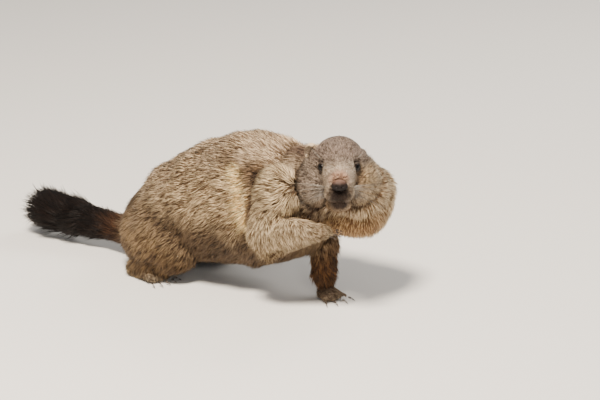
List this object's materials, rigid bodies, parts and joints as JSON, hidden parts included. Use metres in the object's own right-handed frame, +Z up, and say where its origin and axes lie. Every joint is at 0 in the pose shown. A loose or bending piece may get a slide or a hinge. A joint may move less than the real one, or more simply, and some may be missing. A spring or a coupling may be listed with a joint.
{
  "type": "life-size alpine marmot model",
  "caption": "Still life-size model of an alpine marmot, crouched on the ground, head turned to its right and right forepaw raised to the mouth.",
  "frame": {"origin": "on the ground under the middle of the box round the whole animal", "axes": "+X towards the chest, along the spine and tail; +Y towards the animal's left; +Z up from the ground"},
  "size_m": [0.5672, 0.188, 0.2241],
  "materials": {
    "fur_buff": "coarse grey-buff fur",
    "fur_grey": "short grey fur",
    "fur_brown": "dark brown fur",
    "fur_dark": "near black brush of hair",
    "fur_foot": "very short fur and bare soles",
    "nose_skin": "black, slightly moist",
    "eye": "dark and wet",
    "claw": "dark horn"
  },
  "bodies": {
    "root": {"ear_left": "fur_grey", "ear_right": "fur_grey", "eye_left": "eye", "eye_right": "eye", "head": "fur_grey", "left_forearm": "fur_brown", "left_forefoot": "fur_foot", "left_forefoot_claw_1": "claw", "left_forefoot_claw_2": "claw", "left_forefoot_claw_3": "claw", "left_forefoot_claw_4": "claw", "left_hindfoot": "fur_foot", "left_hindfoot_claw_1": "claw", "left_hindfoot_claw_2": "claw", "left_hindfoot_claw_3": "claw", "left_hindfoot_claw_4": "claw", "left_hindfoot_claw_5": "claw", "left_shank": "fur_buff", "left_thigh": "fur_buff", "left_upper_arm": "fur_brown", "lower_jaw": "fur_grey", "neck": "fur_buff", "nose": "nose_skin", "right_forearm": "fur_buff", "right_forepaw": "fur_foot", "right_forepaw_claw_1": "claw", "right_forepaw_claw_2": "claw", "right_forepaw_claw_3": "claw", "right_forepaw_claw_4": "claw", "right_hindfoot": "fur_foot", "right_hindfoot_claw_1": "claw", "right_hindfoot_claw_2": "claw", "right_hindfoot_claw_3": "claw", "right_hindfoot_claw_4": "claw", "right_hindfoot_claw_5": "claw", "right_shank": "fur_buff", "right_thigh": "fur_buff", "right_upper_arm": "fur_buff", "tail": "fur_dark", "torso": "fur_buff"}
  },
  "joints": []
}
